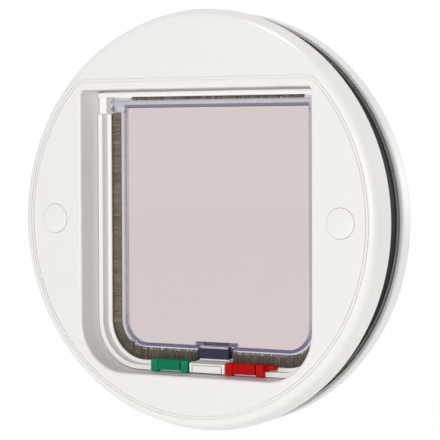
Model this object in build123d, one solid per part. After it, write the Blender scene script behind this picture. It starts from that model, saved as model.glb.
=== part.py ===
"""Round cat flap for a glass pane: two clamped frames, a seal and a swinging flap with two catches.

Millimetres. X is to the right, Y runs from the front face into the pane and Z is up. The origin is
the centre of the pane cut-out, on the plane where the seal meets the rear frame.
"""
import os
from math import hypot

from build123d import *

# Round frames and seal
front_depth = 13.7
side_taper = 4.15
front_edge_radius = 5.5
rim_overhang = 4.4
rear_depth = 12.5
rear_edge_radius = 5.0
rear_overhang = 2.9
rim_chamfer = 0.8
frame_wall = 2.6
seal_depth = 18.2
seal_width = 6.6
seal_clearance = 2.1
seal_chamfer = 2.0
seal_rib_width = 2.6

# Fine line on the front face
groove_margin = 4.05
groove_lift = 5.1
groove_spacing = 1.8
groove_width = 0.5
groove_depth = 0.7
groove_corner_radius = 12.0

# Opening through the frames
opening_half_width = 83.8
opening_top = 81.6
opening_drop = 96.6
opening_corner_radius = 31.5
opening_top_radius = 3.0
opening_edge_radius = 1.6
tunnel_wall = 2.2
tunnel_gap = 1.0

# Frame screws and their caps
screw_offset = 17.8
screw_radius = 2.0
screw_head_radius = 4.0
screw_head_height = 2.4
screw_grip = 20.0
screw_slack = 0.05
post_wall = 3.0
post_gap = 2.2
cap_radius = 9.2
cap_thickness = 2.0
cap_proud = 1.0
cap_rise = 0.2
cap_clearance = 0.25

# Flap housing
housing_clearance = 0.5
rim_setback = 19.2
rim_width = 3.1
step_depth = 6.8
step_width = 2.3
lip_thickness = 1.2
channel_width = 3.7
flange_thickness = 2.6
tube_setback = 5.5
lug_radius = 4.5
lug_height = 50.0
housing_screw_radius = 1.5
housing_screw_length = 12.0

# Hinge
hinge_drop = 9.6
hinge_reach = 3.2
trunnion_radius = 2.2
ear_drop = 4.2
hinge_clearance = 0.1
ear_clearance = 0.5
leg_drop = 5.5
leg_setback = 1.6
bar_gap = 1.3
bar_height = 2.9
bar_corner_radius = 1.4

# Flap
flap_margin = 12.8
pane_thickness = 2.4
bead_height = 1.0
bead_width = 2.0
bead_inset = 3.0
bead_rounding = 0.5
bead_notch_gap = 0.2
strip_height = 3.8
tab_half_width = 11.2
tab_drop = 3.6
tab_reach = 5.0
tab_wall = 1.4
tab_rounding = 0.8
notch_height = 4.2
holder_clearance = 0.1
tongue_height = 1.6
tongue_thickness = 1.0
tongue_margin = 2.0
magnet_clearance = 0.1

# Brush strips
bristle_thickness = 2.1
bristle_gap = 0.4
brush_clearance = 0.15
brush_end_gap = 0.6
top_brush_margin = 8.0
top_bristle_length = 1.3

# Magnet block on the bottom rail
block_half_width = 13.0
block_neck_half_width = 10.8
block_front = 2.8
block_floor_gap = 0.4
block_front_height = 5.6
block_chamfer = 0.4
block_height = 4.5
block_rear_gap = 0.3
cover_margin = 2.4
cover_thickness = 1.2
cover_gap = 0.35

# Catches
catch_length = 27.2
catch_gap = 0.9
catch_front = 3.4
catch_clearance = 0.4
catch_top = 4.2
claw_width = 5.0
catch_slot = 1.2
slot_depth = 4.0
grip_recess = 0.8
grip_lift = 1.0
rib_pitch = 1.5
rib_width = 0.7
rib_depth = 0.35
catch_rounding = 0.6
catch_travel = 8.0
pin_width = 1.0
pin_thickness = 1.6
pin_clearance = 0.35
pin_foot = 3.4
pin_overlap = 1.2
pin_slack = 0.05
arm_height = 1.4
keel_neck = 1.0
keel_base = 2.4
keel_depth = 2.0
keel_clearance = 0.25
tail_length = 5.4
tail_height = 2.8

# Radii of the round frames, which clear the corners of the tunnel
top_straight = opening_half_width - opening_top_radius
top_reach = hypot(top_straight, opening_top - opening_top_radius) + opening_top_radius
side_straight = opening_half_width - opening_corner_radius
bottom_reach = hypot(side_straight, opening_drop - opening_corner_radius) + opening_corner_radius
seal_inner_radius = max(top_reach, bottom_reach) + tunnel_wall + seal_clearance
seal_radius = seal_inner_radius + seal_width
rim_radius = seal_radius + rim_overhang
rear_radius = seal_radius + rear_overhang
face_radius = rim_radius - side_taper
rib_radius = seal_radius - seal_width / 2
groove_radius = face_radius - groove_margin - groove_spacing
groove_height = opening_top + groove_lift
screw_spread = opening_half_width + tunnel_wall + screw_offset

# Stations along Y
y_rim = -seal_depth
y_face = y_rim - front_depth
y_back = rear_depth
y_step = y_face + rim_setback
y_lip = y_step + step_depth
y_channel = y_lip + lip_thickness
y_channel_end = y_channel + channel_width
y_tube = y_channel_end + lip_thickness
y_flange = y_channel - flange_thickness
y_flap = (y_channel + y_channel_end) / 2
y_housing_end = y_back - tube_setback
y_rear_tunnel = y_channel + tunnel_gap

# Insets of the housing's surfaces from the opening
rim_inset = housing_clearance + rim_width
lip_inset = rim_inset + step_width
tube_inset = housing_clearance + tunnel_wall
lip_half_width = opening_half_width - lip_inset
tube_half_width = opening_half_width - tube_inset

# Levels of the bottom rail and of the flap
hinge_height = opening_top - hinge_drop
z_floor = -opening_drop
z_shelf = z_floor + rim_inset
z_lip = z_floor + lip_inset
z_flap_bottom = z_floor + flap_margin
z_flap_top = hinge_height + hinge_reach
z_strip = z_flap_top - strip_height
z_notch = z_flap_bottom + notch_height
z_tab = z_flap_bottom - tab_drop
z_bar_top = opening_top - bar_gap
z_bar = z_bar_top - bar_height
z_leg = hinge_height - leg_drop
flap_half_width = opening_half_width - flap_margin
top_brush_half_length = flap_half_width - top_brush_margin
half_pane = pane_thickness / 2
half_bead = half_pane + bead_height
ear_swing = hypot(half_pane, ear_drop - bead_height) + bead_height
z_brush = hinge_height - ear_swing - brush_clearance
outer_bead_inset = bead_inset - bead_width / 2
ear_end = lip_half_width - ear_clearance

# Distance of the housing screws from the middle plane
lug_offset = opening_half_width + tunnel_wall + lug_radius - 1

# Catch positions at rest, measured outward from the centre
catch_start = block_half_width + catch_gap
catch_end = catch_start + catch_length
z_catch = z_shelf + catch_top
pin_start = tab_half_width + pin_clearance
pin_end = pin_start + pin_width
notch_half_width = pin_end + pin_clearance
z_pin = z_flap_bottom + pin_overlap
z_slide = z_shelf + catch_clearance - 0.1


def slab(sketch, y_start, y_end):
    """Solid of a sketch in X and Z, from one Y station to another."""
    return extrude(Plane.XZ.offset(-y_end) * sketch, amount=y_end - y_start)


def block(x_range, y_range, z_range):
    """Box between two values on each axis."""
    size = [max(r) - min(r) for r in (x_range, y_range, z_range)]
    middle = [(max(r) + min(r)) / 2 for r in (x_range, y_range, z_range)]
    return Pos(*middle) * Box(*size)


def rod(radius, y_start, y_end, x=0.0, z=0.0):
    """Cylinder along Y."""
    return slab(Pos(x, z) * Circle(radius), y_start, y_end)


def cross_rod(radius, x_start, x_end, y, z):
    """Cylinder along X."""
    return extrude(Plane.YZ.offset(x_start) * Pos(y, z) * Circle(radius), amount=x_end - x_start)


def cross_bar(points, x_start, x_end):
    """Solid along X of a closed outline given as (y, z) points."""
    face = make_face(Polyline(*points, close=True))
    return extrude(Plane.YZ.offset(x_start) * face, amount=x_end - x_start)


def ring(inner, outer, y_start, y_end):
    """Round ring about Y."""
    return slab(Circle(outer) - Circle(inner), y_start, y_end)


def rounded_panel(half_width, top, bottom, bottom_radius, top_radius):
    """Upright panel outline with rounded bottom and top corners."""
    sketch = Pos(0, (top + bottom) / 2) * Rectangle(2 * half_width, top - bottom)
    sketch = fillet(sketch.vertices().group_by(Axis.Y)[0], bottom_radius)
    return fillet(sketch.vertices().group_by(Axis.Y)[-1], top_radius)


def opening(inset=0.0):
    """Outline of the opening, moved inward by an inset."""
    return rounded_panel(
        opening_half_width - inset,
        opening_top - inset,
        z_floor + inset,
        opening_corner_radius - inset,
        max(opening_top_radius - inset, rim_chamfer),
    )


def frame_band(outer_inset, inner_inset, y_start, y_end):
    """Band that follows the opening between two insets."""
    return slab(opening(outer_inset) - opening(inner_inset), y_start, y_end)


def groove_panel(radius, height):
    """Round panel cut off level at the top, with rounded corners."""
    sketch = Circle(radius) & Pos(0, height - radius) * Rectangle(2 * radius, 2 * radius)
    return fillet(sketch.vertices().group_by(Axis.Y)[-1], groove_corner_radius)


def turned(*points):
    """Solid turned about Y from (radius, y) points."""
    return revolve(make_face(Polyline(*points, close=True)), Axis.Y)


def rim_edge(solid, y):
    """The outer round edge of a turned solid in one Y plane."""
    return solid.edges().filter_by_position(Axis.Y, y - 0.01, y + 0.01).sort_by(SortBy.LENGTH)[-1]


def mouth_edges(solid, y):
    """Edges of the opening in one Y plane of a solid."""
    plane_edges = solid.edges().filter_by_position(Axis.Y, y - 0.01, y + 0.01)
    near = opening_half_width + 1
    middle_edges = [e for e in plane_edges if abs(e.center().X) < near]
    return [e for e in middle_edges if z_floor - 1 < e.center().Z < opening_top + 1]


def front_frame():
    """Front moulding with the tunnel, the cups for the caps and the posts for the screws."""
    slope = side_taper / front_depth
    y_inside = y_face + frame_wall
    shell = turned(
        (0, y_face),
        (face_radius, y_face),
        (rim_radius - slope * rim_chamfer, y_rim - rim_chamfer),
        (rim_radius - rim_chamfer, y_rim),
        (rim_radius - frame_wall, y_rim),
        (face_radius - frame_wall, y_inside),
        (0, y_inside),
    )
    shell = fillet(rim_edge(shell, y_face), front_edge_radius)
    shell += ring(rib_radius - seal_rib_width / 2, rib_radius + seal_rib_width / 2, y_face + 1, y_rim)
    shell += slab(opening(-tunnel_wall), y_face + 1, y_flange)
    y_cup = y_face + cap_thickness
    y_seat = y_cup + screw_head_height + cap_clearance
    head_recess = screw_head_radius + cap_clearance
    for side in (-1, 1):
        x = side * screw_spread
        shell += rod(cap_radius + cap_clearance + post_wall, y_face + 1, y_cup + post_wall, x)
        shell += rod(head_recess + post_wall, y_face + 1, y_rim, x)
        shell -= rod(cap_radius + cap_clearance, y_face - 1, y_cup, x)
        shell -= rod(head_recess, y_face, y_seat, x)
        shell -= rod(screw_radius + cap_clearance, y_face, y_rim + 1, x)
        for z in (-lug_height, lug_height):
            shell += rod(lug_radius, y_face + 1, y_flange, side * lug_offset, z)
            pilot = housing_screw_radius + screw_slack
            shell -= rod(pilot, y_flange - housing_screw_length, y_flange + 1, side * lug_offset, z)
    shell -= slab(opening(), y_face - 1, y_flange + 1)
    for offset in (0, groove_spacing):
        radius = groove_radius + offset
        height = groove_height + offset
        groove = groove_panel(radius, height) - groove_panel(radius - groove_width, height - groove_width)
        shell -= slab(groove, y_face - 1, y_face + groove_depth)
    return fillet(mouth_edges(shell, y_face), opening_edge_radius)


def rear_frame():
    """Rear moulding with its tunnel and the posts that take the frame screws."""
    inside = rear_radius - frame_wall
    y_inside = y_back - frame_wall
    shell = turned(
        (0, y_back),
        (rear_radius, y_back),
        (rear_radius, rim_chamfer),
        (rear_radius - rim_chamfer, 0),
        (inside, 0),
        (inside, y_inside - rear_edge_radius + frame_wall),
        (inside - rear_edge_radius + frame_wall, y_inside),
        (0, y_inside),
    )
    shell = fillet(rim_edge(shell, y_back), rear_edge_radius)
    shell += ring(rib_radius - seal_rib_width / 2, rib_radius + seal_rib_width / 2, 0, y_back - 1)
    shell += slab(opening(-tunnel_wall), y_rear_tunnel, y_back - 1)
    for side in (-1, 1):
        shell += rod(screw_radius + post_wall, y_rim + post_gap, y_back - 1, side * screw_spread)
        y_pilot = y_rim + post_gap + screw_grip + 1
        shell -= rod(screw_radius + screw_slack, y_rim, y_pilot, side * screw_spread)
    shell -= slab(opening(), y_rear_tunnel - 1, y_back + 1)
    return fillet(mouth_edges(shell, y_back), opening_edge_radius)


def seal_ring():
    """Rubber ring with bevelled outer corners."""
    return turned(
        (seal_inner_radius, y_rim),
        (seal_radius - seal_chamfer, y_rim),
        (seal_radius, y_rim + seal_chamfer),
        (seal_radius, -seal_chamfer),
        (seal_radius - seal_chamfer, 0),
        (seal_inner_radius, 0),
    )


def screw_cap(side):
    """Low domed cap over one frame screw."""
    sagitta = cap_proud - cap_rise
    dome_radius = (cap_radius**2 + sagitta**2) / (2 * sagitta)
    cap = rod(cap_radius, y_face - cap_proud, y_face + cap_thickness)
    cap &= Pos(0, y_face - cap_proud + dome_radius, 0) * Sphere(dome_radius)
    return Pos(side * screw_spread, 0, 0) * cap


def frame_screws():
    """The two long screws between the frames."""
    y_seat = y_face + cap_thickness + screw_head_height + cap_clearance
    solids = []
    for side in (-1, 1):
        x = side * screw_spread
        screw = rod(screw_head_radius, y_seat - screw_head_height, y_seat, x)
        screw += rod(screw_radius, y_seat - 1, y_rim + post_gap + screw_grip, x)
        slot = screw_head_height / 3
        screw -= block(
            (x - screw_head_radius, x + screw_head_radius),
            (y_seat - screw_head_height - 1, y_seat - screw_head_height + slot),
            (-slot / 2, slot / 2),
        )
        solids.append(screw)
    return Compound(children=solids)


def housing_screws():
    """The four screws that hold the housing to the front frame."""
    solids = []
    for x in (-lug_offset, lug_offset):
        for z in (-lug_height, lug_height):
            head = rod(2 * housing_screw_radius, y_channel, y_channel + 2, x, z)
            shank = rod(housing_screw_radius, y_flange - housing_screw_length + 1, y_channel + 1, x, z)
            solids.append(head + shank)
    return Compound(children=solids)


def dovetail(growth, x_start, x_end):
    """Undercut keel of a catch, or its slot when grown by a clearance."""
    y_middle = (y_step + y_lip) / 2
    top = z_shelf + keel_depth
    bottom = z_shelf - keel_depth - growth
    neck = keel_neck / 2 + growth
    base = keel_base / 2 + growth
    points = [
        (y_middle - neck, top),
        (y_middle - neck, z_shelf),
        (y_middle - base, bottom),
        (y_middle + base, bottom),
        (y_middle + neck, z_shelf),
        (y_middle + neck, top),
    ]
    return cross_bar(points, x_start, x_end)


def flap_housing():
    """Inner frame with the stepped rims, the brush channel and the hinge bearings."""
    body = frame_band(housing_clearance, tube_inset, y_flange, y_housing_end)
    body += frame_band(-tunnel_wall, tube_inset, y_flange, y_channel)
    lower = frame_band(housing_clearance, rim_inset, y_step, y_lip)
    lower += frame_band(housing_clearance, lip_inset, y_lip, y_channel)
    lower += frame_band(housing_clearance, lip_inset, y_channel_end, y_tube)
    reach = opening_half_width + 1
    lower -= block((-reach, reach), (y_step - 1, y_tube + 1), (z_leg, opening_top + 1))
    body += lower
    for y_start, y_end in ((y_lip, y_channel), (y_channel_end, y_tube)):
        half = top_brush_half_length + step_width
        body += block((-half, half), (y_start, y_end), (z_bar, opening_top - tube_inset + 1))
    for side in (-1, 1):
        bearing = block(
            (side * lip_half_width, side * (tube_half_width + 1)), (y_flange, y_tube), (z_leg, z_bar)
        )
        slot = trunnion_radius + hinge_clearance
        x_range = (side * (lip_half_width - 1), side * tube_half_width)
        bearing -= block(x_range, (y_flange - 1, y_flap), (hinge_height - slot, hinge_height + slot))
        bearing -= cross_rod(slot, min(x_range), max(x_range), y_flap, hinge_height)
        body += bearing
        for z in (-lug_height, lug_height):
            body += rod(lug_radius, y_flange, y_channel, side * lug_offset, z)
            hole = housing_screw_radius + housing_clearance / 2
            body -= rod(hole, y_flange - 1, y_channel + 1, side * lug_offset, z)
        slot_end = catch_end - claw_width + catch_travel + keel_clearance
        slot_range = (side * (block_neck_half_width - 2), side * slot_end)
        body -= dovetail(keel_clearance, min(slot_range), max(slot_range))
    arm_slot = (pin_start - catch_clearance, pin_end + catch_travel + catch_clearance)
    body -= block(arm_slot, (y_lip - 0.01, y_tube + 1), (z_shelf, z_lip + 1))
    return body


def hinge_retainer():
    """Bar across the top with a leg at each end that closes the hinge bearings."""
    half = opening_half_width - housing_clearance
    sketch = Pos(0, (z_bar + z_bar_top) / 2) * Rectangle(2 * half, bar_height)
    sketch = fillet(sketch.vertices().group_by(Axis.Y)[-1], bar_corner_radius)
    body = slab(sketch, y_step, y_flange)
    for side in (-1, 1):
        body += block(
            (side * lip_half_width, side * half),
            (y_step + leg_setback, y_flange),
            (z_leg + brush_clearance, z_bar + 1),
        )
        y_key = y_flap - trunnion_radius - hinge_clearance
        body += block(
            (side * (lip_half_width + brush_clearance), side * (tube_half_width - brush_clearance)),
            (y_flange - 1, y_key),
            (hinge_height - trunnion_radius, hinge_height + trunnion_radius),
        )
    return body


def flap_outline(inset, top, notch_growth):
    """Flap outline moved inward, with the notch for the magnet holder grown by its own amount."""
    sketch = rounded_panel(
        flap_half_width - inset,
        top,
        z_flap_bottom + inset,
        opening_corner_radius - flap_margin - inset,
        rim_chamfer,
    )
    notch = Rectangle(2 * (notch_half_width + notch_growth), 2 * (notch_height + notch_growth))
    return sketch - Pos(0, z_flap_bottom) * notch


def flap_panel():
    """Clear flap with its bead, hinge strip, ears and trunnions."""
    body = slab(flap_outline(0, z_flap_top, 0), y_flap - half_pane, y_flap + half_pane)
    inner_inset = outer_bead_inset + bead_width
    inner_growth = bead_notch_gap + bead_width
    bead = flap_outline(outer_bead_inset, z_strip + bead_width / 2, bead_notch_gap)
    bead -= flap_outline(inner_inset, z_strip - bead_width / 2, inner_growth)
    bead_solid = slab(bead, y_flap - half_bead, y_flap + half_bead)
    crest = bead_solid.edges().filter_by(lambda e: abs(abs(e.center().Y - y_flap) - half_bead) < 0.01)
    body += chamfer(crest, bead_rounding)
    strip = Pos(y_flap, (z_flap_top + z_strip) / 2) * Rectangle(2 * half_bead, strip_height)
    strip = fillet(strip.vertices().group_by(Axis.Y)[-1], bead_height)
    body += extrude(Plane.YZ.offset(-ear_end) * strip, amount=2 * ear_end)
    ear = Pos(y_flap, hinge_height + (hinge_reach - ear_drop) / 2) * RectangleRounded(
        2 * half_bead, hinge_reach + ear_drop, bead_height
    )
    ear_width = ear_end - flap_half_width + bead_inset
    for side in (-1, 1):
        x_ear = min(side * ear_end, side * (ear_end - ear_width))
        body += extrude(Plane.YZ.offset(x_ear) * ear, amount=ear_width)
        pin_range = (side * (ear_end - 1), side * (tube_half_width - hinge_clearance))
        body += cross_rod(trunnion_radius, min(pin_range), max(pin_range), y_flap, hinge_height)
    return body - holder_tongue(pin_slack)


def magnet_holder():
    """Clear holder in the notch of the flap, with the tab that carries the magnet."""
    z_top = z_notch - holder_clearance
    tab = Pos(0, (z_tab + z_top) / 2) * Rectangle(2 * tab_half_width, z_top - z_tab)
    body = slab(fillet(tab.vertices(), tab_rounding), y_flap - tab_reach, y_flap + half_bead)
    return body + holder_tongue(0) - flap_magnet_space(magnet_clearance)


def holder_tongue(growth):
    """Tongue on top of the holder, or its slot in the edge of the flap when grown."""
    half = tab_half_width - tongue_margin + growth
    half_thickness = tongue_thickness / 2 + growth
    y_range = (y_flap - half_thickness, y_flap + half_thickness)
    return block((-half, half), y_range, (z_notch - 1, z_notch + tongue_height + growth))


def flap_magnet_space(growth):
    """The flap magnet, or its pocket when grown by a clearance."""
    half = tab_half_width - tab_wall + growth
    y_range = (y_flap - tab_reach + tab_wall - growth, y_flap + half_bead + growth / 2)
    z_range = (z_tab + tab_wall - growth, z_notch - holder_clearance - tab_wall + growth)
    return block((-half, half), y_range, z_range)


def magnet_profile(y_front):
    """Side outline of the magnet block, from a front station back to the step."""
    z_bottom = z_floor + housing_clearance + block_floor_gap
    z_top = z_shelf + block_height
    y_rear = y_lip - block_rear_gap
    return [
        (y_front, z_bottom),
        (y_step, z_bottom),
        (y_step, z_shelf),
        (y_rear, z_shelf),
        (y_rear, z_top),
        ((y_step + 2 * y_rear) / 3, z_top),
        (y_front + block_chamfer, z_bottom + block_front_height + block_chamfer / 2),
        (y_front, z_bottom + block_front_height),
    ]


def magnet_housing():
    """White block on the middle of the bottom rail."""
    y_front = y_step - block_front
    body = cross_bar(magnet_profile(y_front), -block_half_width, block_half_width)
    y_neck = y_step + 1
    for side in (-1, 1):
        body -= block(
            (side * block_neck_half_width, side * (block_half_width + 1)),
            (y_neck, y_lip),
            (z_floor, z_shelf + block_height + 1),
        )
    corner_edges = body.edges().filter_by(Axis.Z).filter_by_position(Axis.Y, y_front - 0.01, y_front + 0.01)
    body = fillet(corner_edges, catch_rounding)
    body -= cover_space(cover_gap)
    body -= frame_magnet_space(magnet_clearance)
    return body


def cover_space(growth):
    """Inset plate in the front of the block, or its recess when grown by a gap."""
    y_front = y_step - block_front
    z_bottom = z_floor + housing_clearance + block_floor_gap
    half = block_half_width - cover_margin + growth
    return block(
        (-half, half),
        (y_front - 5 * growth, y_front + cover_thickness),
        (z_bottom - 5 * growth, z_bottom + block_front_height - cover_margin / 2 + growth),
    )


def frame_magnet_space(growth):
    """The magnet in the block, or its pocket when grown by a clearance."""
    half = block_neck_half_width - tab_wall + growth
    y_range = (y_step + tab_wall - growth, y_lip - block_rear_gap - tab_wall + growth)
    return block((-half, half), y_range, (z_shelf - 5 * growth, z_shelf + block_height - tab_wall + growth))


def brush_strip(side):
    """Side and bottom bristle strip for one half of the flap, with its backing."""
    root = lip_inset - brush_clearance
    half = bristle_thickness / 2
    y_range = (y_channel, y_channel_end)
    x_inner = side * (tab_half_width + brush_end_gap)
    z_backing = z_leg - brush_clearance
    low = block((x_inner, side * opening_half_width), y_range, (z_floor, z_backing))
    high = block((x_inner, side * (lip_half_width - brush_clearance)), y_range, (z_floor, z_brush))
    y_backing = (y_channel + brush_clearance, y_channel_end - brush_clearance)
    body = frame_band(tube_inset + brush_clearance, root, *y_backing) & low
    bristles = frame_band(root - 1, flap_margin - bristle_gap, y_flap - half, y_flap + half)
    body += bristles & (low + high)
    if side > 0:
        arm_end = pin_end + catch_travel + 2 * catch_clearance
        body -= block((0, arm_end), y_range, (z_floor, z_lip - brush_clearance))
    return body


def brush_top():
    """Short bristle strip above the hinge strip."""
    half = bristle_thickness / 2
    length = (-top_brush_half_length, top_brush_half_length)
    z_back = opening_top - tube_inset - brush_clearance
    body = block(length, (y_channel + brush_clearance, y_channel_end - brush_clearance), (z_bar, z_back))
    body += block(length, (y_flap - half, y_flap + half), (z_bar - top_bristle_length, z_bar + 0.5))
    return body


def catch_body(slot_start):
    """What both catches share, drawn on the right-hand side, with a slot beside one claw."""
    y_front = y_step - catch_front
    y_apron = y_step - catch_clearance
    z_bottom = z_floor + catch_clearance
    grip = (catch_start + claw_width, catch_end - claw_width)
    body = block((catch_start, catch_end), (y_apron - 1, y_lip - catch_clearance), (z_slide, z_catch))
    for x in (catch_start, catch_end - claw_width):
        claw = Pos(x + claw_width / 2, (z_bottom + z_catch) / 2) * RectangleRounded(
            claw_width, z_catch - z_bottom, catch_rounding
        )
        body += slab(claw, y_front, y_apron)
    body += block(grip, (y_front + grip_recess, y_apron), (z_bottom + grip_lift, z_catch - catch_rounding))
    count = int((grip[1] - grip[0] - rib_pitch) / rib_pitch)
    for i in range(count):
        x = (grip[0] + grip[1]) / 2 + (i - (count - 1) / 2) * rib_pitch
        body += block(
            (x - rib_width / 2, x + rib_width / 2),
            (y_front + grip_recess - rib_depth, y_front + grip_recess + 1),
            (z_bottom + grip_lift, z_catch - catch_rounding),
        )
    slot_range = (slot_start, slot_start + catch_slot)
    body -= block(slot_range, (y_front - 1, y_front + slot_depth), (z_floor, z_catch + 1))
    body += dovetail(0, *grip) & block(grip, (y_step, y_lip), (z_floor, z_slide + 1))
    tongue_y = (y_step + 1 + catch_clearance, y_lip - catch_clearance)
    body += block((pin_start, catch_start + 1), tongue_y, (z_slide, z_catch - catch_clearance))
    return body


def bent_pin(y_post, z_arm, growth=0.0):
    """Lock pin on the right-hand side, or its pocket when grown: an arm from the catch and a post."""
    pin_range = (pin_start - growth, pin_end + growth)
    y_foot = y_lip - catch_clearance - pin_foot
    arm = block(pin_range, (y_foot - growth, y_post[1]), (z_arm - growth, z_arm + arm_height + growth))
    return arm + block(pin_range, y_post, (z_arm, z_pin))


def front_pin(growth=0.0):
    """Pin whose post stands in front of the flap."""
    y_end = y_flap - half_bead - pin_clearance / 2
    return bent_pin((y_end - pin_thickness, y_end), z_lip + catch_clearance, growth)


def rear_pin(growth=0.0):
    """Pin whose arm runs under the brush to a post behind the flap."""
    y_start = y_flap + half_bead + pin_clearance
    return bent_pin((y_start, y_start + pin_thickness), z_slide, growth)


def green_catch():
    """Left catch, with the pocket of the pin that stands before the flap when it is slid out."""
    body = catch_body(catch_start + claw_width)
    return mirror(body - front_pin(pin_slack), Plane.YZ)


def red_catch():
    """Right catch, with the pocket of the pin behind the flap and a short tail."""
    body = catch_body(catch_end - claw_width - catch_slot)
    z_tail = z_catch - catch_clearance
    tail_range = (catch_end - 1, catch_end + tail_length)
    body += block(tail_range, (y_step + 1, y_lip - 2), (z_tail - tail_height, z_tail))
    return body - rear_pin(pin_slack)


solids = {
    "front_frame": front_frame(),
    "rear_frame": rear_frame(),
    "seal_ring": seal_ring(),
    "screw_cap_left": screw_cap(-1),
    "screw_cap_right": screw_cap(1),
    "frame_screws": frame_screws(),
    "flap_housing": flap_housing(),
    "housing_screws": housing_screws(),
    "hinge_retainer": hinge_retainer(),
    "flap_panel": flap_panel(),
    "magnet_holder": magnet_holder(),
    "flap_magnet": flap_magnet_space(0),
    "magnet_housing": magnet_housing(),
    "magnet_cover": cover_space(0),
    "frame_magnet": frame_magnet_space(0),
    "brush_left": brush_strip(-1),
    "brush_right": brush_strip(1),
    "brush_top": brush_top(),
    "green_catch": green_catch(),
    "red_catch": red_catch(),
    "green_pin": mirror(front_pin(), Plane.YZ),
    "red_pin": rear_pin(),
}

os.makedirs("parts", exist_ok=True)
for name, solid in solids.items():
    export_step(solid, f"parts/{name}.step")
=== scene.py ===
"""Looks of a round cat flap for a glass pane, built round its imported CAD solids.

All lengths are metres in the part's own frame: X to the right, Y from the front face to the
rear and Z up, with the origin in the middle of the pane cut-out.
"""

import logging
import math
import random
from dataclasses import dataclass, field
from enum import Enum
from typing import Callable, Iterable, Sequence, Union

import bmesh
import bpy
from mathutils import Matrix, Vector


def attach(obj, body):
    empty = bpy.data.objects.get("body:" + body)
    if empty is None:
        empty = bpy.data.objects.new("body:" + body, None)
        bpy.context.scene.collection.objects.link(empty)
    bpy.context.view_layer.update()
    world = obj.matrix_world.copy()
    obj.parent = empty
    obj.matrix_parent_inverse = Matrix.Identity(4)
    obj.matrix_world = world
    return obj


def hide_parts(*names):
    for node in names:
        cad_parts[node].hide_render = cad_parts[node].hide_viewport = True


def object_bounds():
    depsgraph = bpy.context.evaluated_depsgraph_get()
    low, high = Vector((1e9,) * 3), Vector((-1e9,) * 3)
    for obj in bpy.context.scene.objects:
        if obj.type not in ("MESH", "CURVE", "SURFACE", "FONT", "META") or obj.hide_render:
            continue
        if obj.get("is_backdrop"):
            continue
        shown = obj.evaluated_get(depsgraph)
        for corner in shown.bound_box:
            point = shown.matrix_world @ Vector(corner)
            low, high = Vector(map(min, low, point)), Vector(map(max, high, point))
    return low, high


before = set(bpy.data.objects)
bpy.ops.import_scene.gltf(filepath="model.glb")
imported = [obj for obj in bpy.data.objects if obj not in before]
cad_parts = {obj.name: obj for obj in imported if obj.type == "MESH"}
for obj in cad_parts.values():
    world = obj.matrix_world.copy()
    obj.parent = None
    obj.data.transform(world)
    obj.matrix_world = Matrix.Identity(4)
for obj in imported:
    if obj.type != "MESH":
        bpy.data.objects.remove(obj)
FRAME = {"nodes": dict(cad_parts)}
LOG = logging.getLogger("cat_flap")
MM = 0.001
PLASTIC_IOR = 1.5
CLEAR_IOR = 1.49
WELD_DISTANCE = 0.002 * MM
FLAT_ANGLE = math.radians(0.5)
SHARP_ANGLE = math.radians(32.0)
SMOOTH_ANGLE = math.radians(48.0)
Colour = tuple[float, float, float]
Point = tuple[float, float, float]


class Body(Enum):
    """Moving bodies of the part."""

    FRAME = "frame"
    FLAP = "flap"
    GREEN = "green_slider"
    RED = "red_slider"


class Slot(Enum):
    """Material slots of the record, passed with the scene's own pieces but not used."""

    WHITE = "white_plastic"
    RUBBER = "seal_rubber"
    CLEAR = "tinted_clear_plastic"
    BRISTLE = "bristle"
    GREEN = "green_plastic"
    RED = "red_plastic"


class Zone(Enum):
    """Zones of the flap, as numbers of its finishes."""

    PANE = 0
    LIP = 1
    BEAD = 2
    BEARING = 3
    STRIP = 4


class Value:
    """A number output of a shader node, with operators that add Math nodes."""

    def __init__(self, graph: "NodeGraph", socket: bpy.types.NodeSocket) -> None:
        """Wraps one socket.

        Args:
            graph: Node tree that the socket belongs to.
            socket: Output socket that carries a number.
        """
        self.graph = graph
        self.socket = socket

    def _math(self, operation: str, first: "Operand", second: "Operand") -> "Value":
        """Adds one Math node.

        Args:
            operation: Name of the Math operation.
            first: First number or socket.
            second: Second number or socket.

        Returns:
            The node's result.
        """
        node = self.graph.add("ShaderNodeMath", {"operation": operation}, {0: first, 1: second})
        return Value(self.graph, node.outputs[0])

    def __add__(self, other: "Operand") -> "Value":
        """Sum."""
        return self._math("ADD", self, other)

    def __radd__(self, other: "Operand") -> "Value":
        """Sum with the number first."""
        return self._math("ADD", other, self)

    def __sub__(self, other: "Operand") -> "Value":
        """Difference."""
        return self._math("SUBTRACT", self, other)

    def __rsub__(self, other: "Operand") -> "Value":
        """Difference with the number first."""
        return self._math("SUBTRACT", other, self)

    def __mul__(self, other: "Operand") -> "Value":
        """Product."""
        return self._math("MULTIPLY", self, other)

    def __rmul__(self, other: "Operand") -> "Value":
        """Product with the number first."""
        return self._math("MULTIPLY", other, self)

    def __pow__(self, other: "Operand") -> "Value":
        """Power."""
        return self._math("POWER", self, other)

    def maximum(self, other: "Operand") -> "Value":
        """The larger of the two."""
        return self._math("MAXIMUM", self, other)

    def clamped(self) -> "Value":
        """The value held between 0 and 1."""
        return self._math("MINIMUM", self.maximum(0.0), 1.0)

    def magnitude(self) -> "Value":
        """The value without its sign."""
        return self._math("ABSOLUTE", self, 0.0)

    def ripple(self, height: float) -> "Value":
        """The value folded to and fro between 0 and a height."""
        return self._math("PINGPONG", self, height)


Operand = Union[Value, bpy.types.NodeSocket, float, Sequence[float]]


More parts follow.
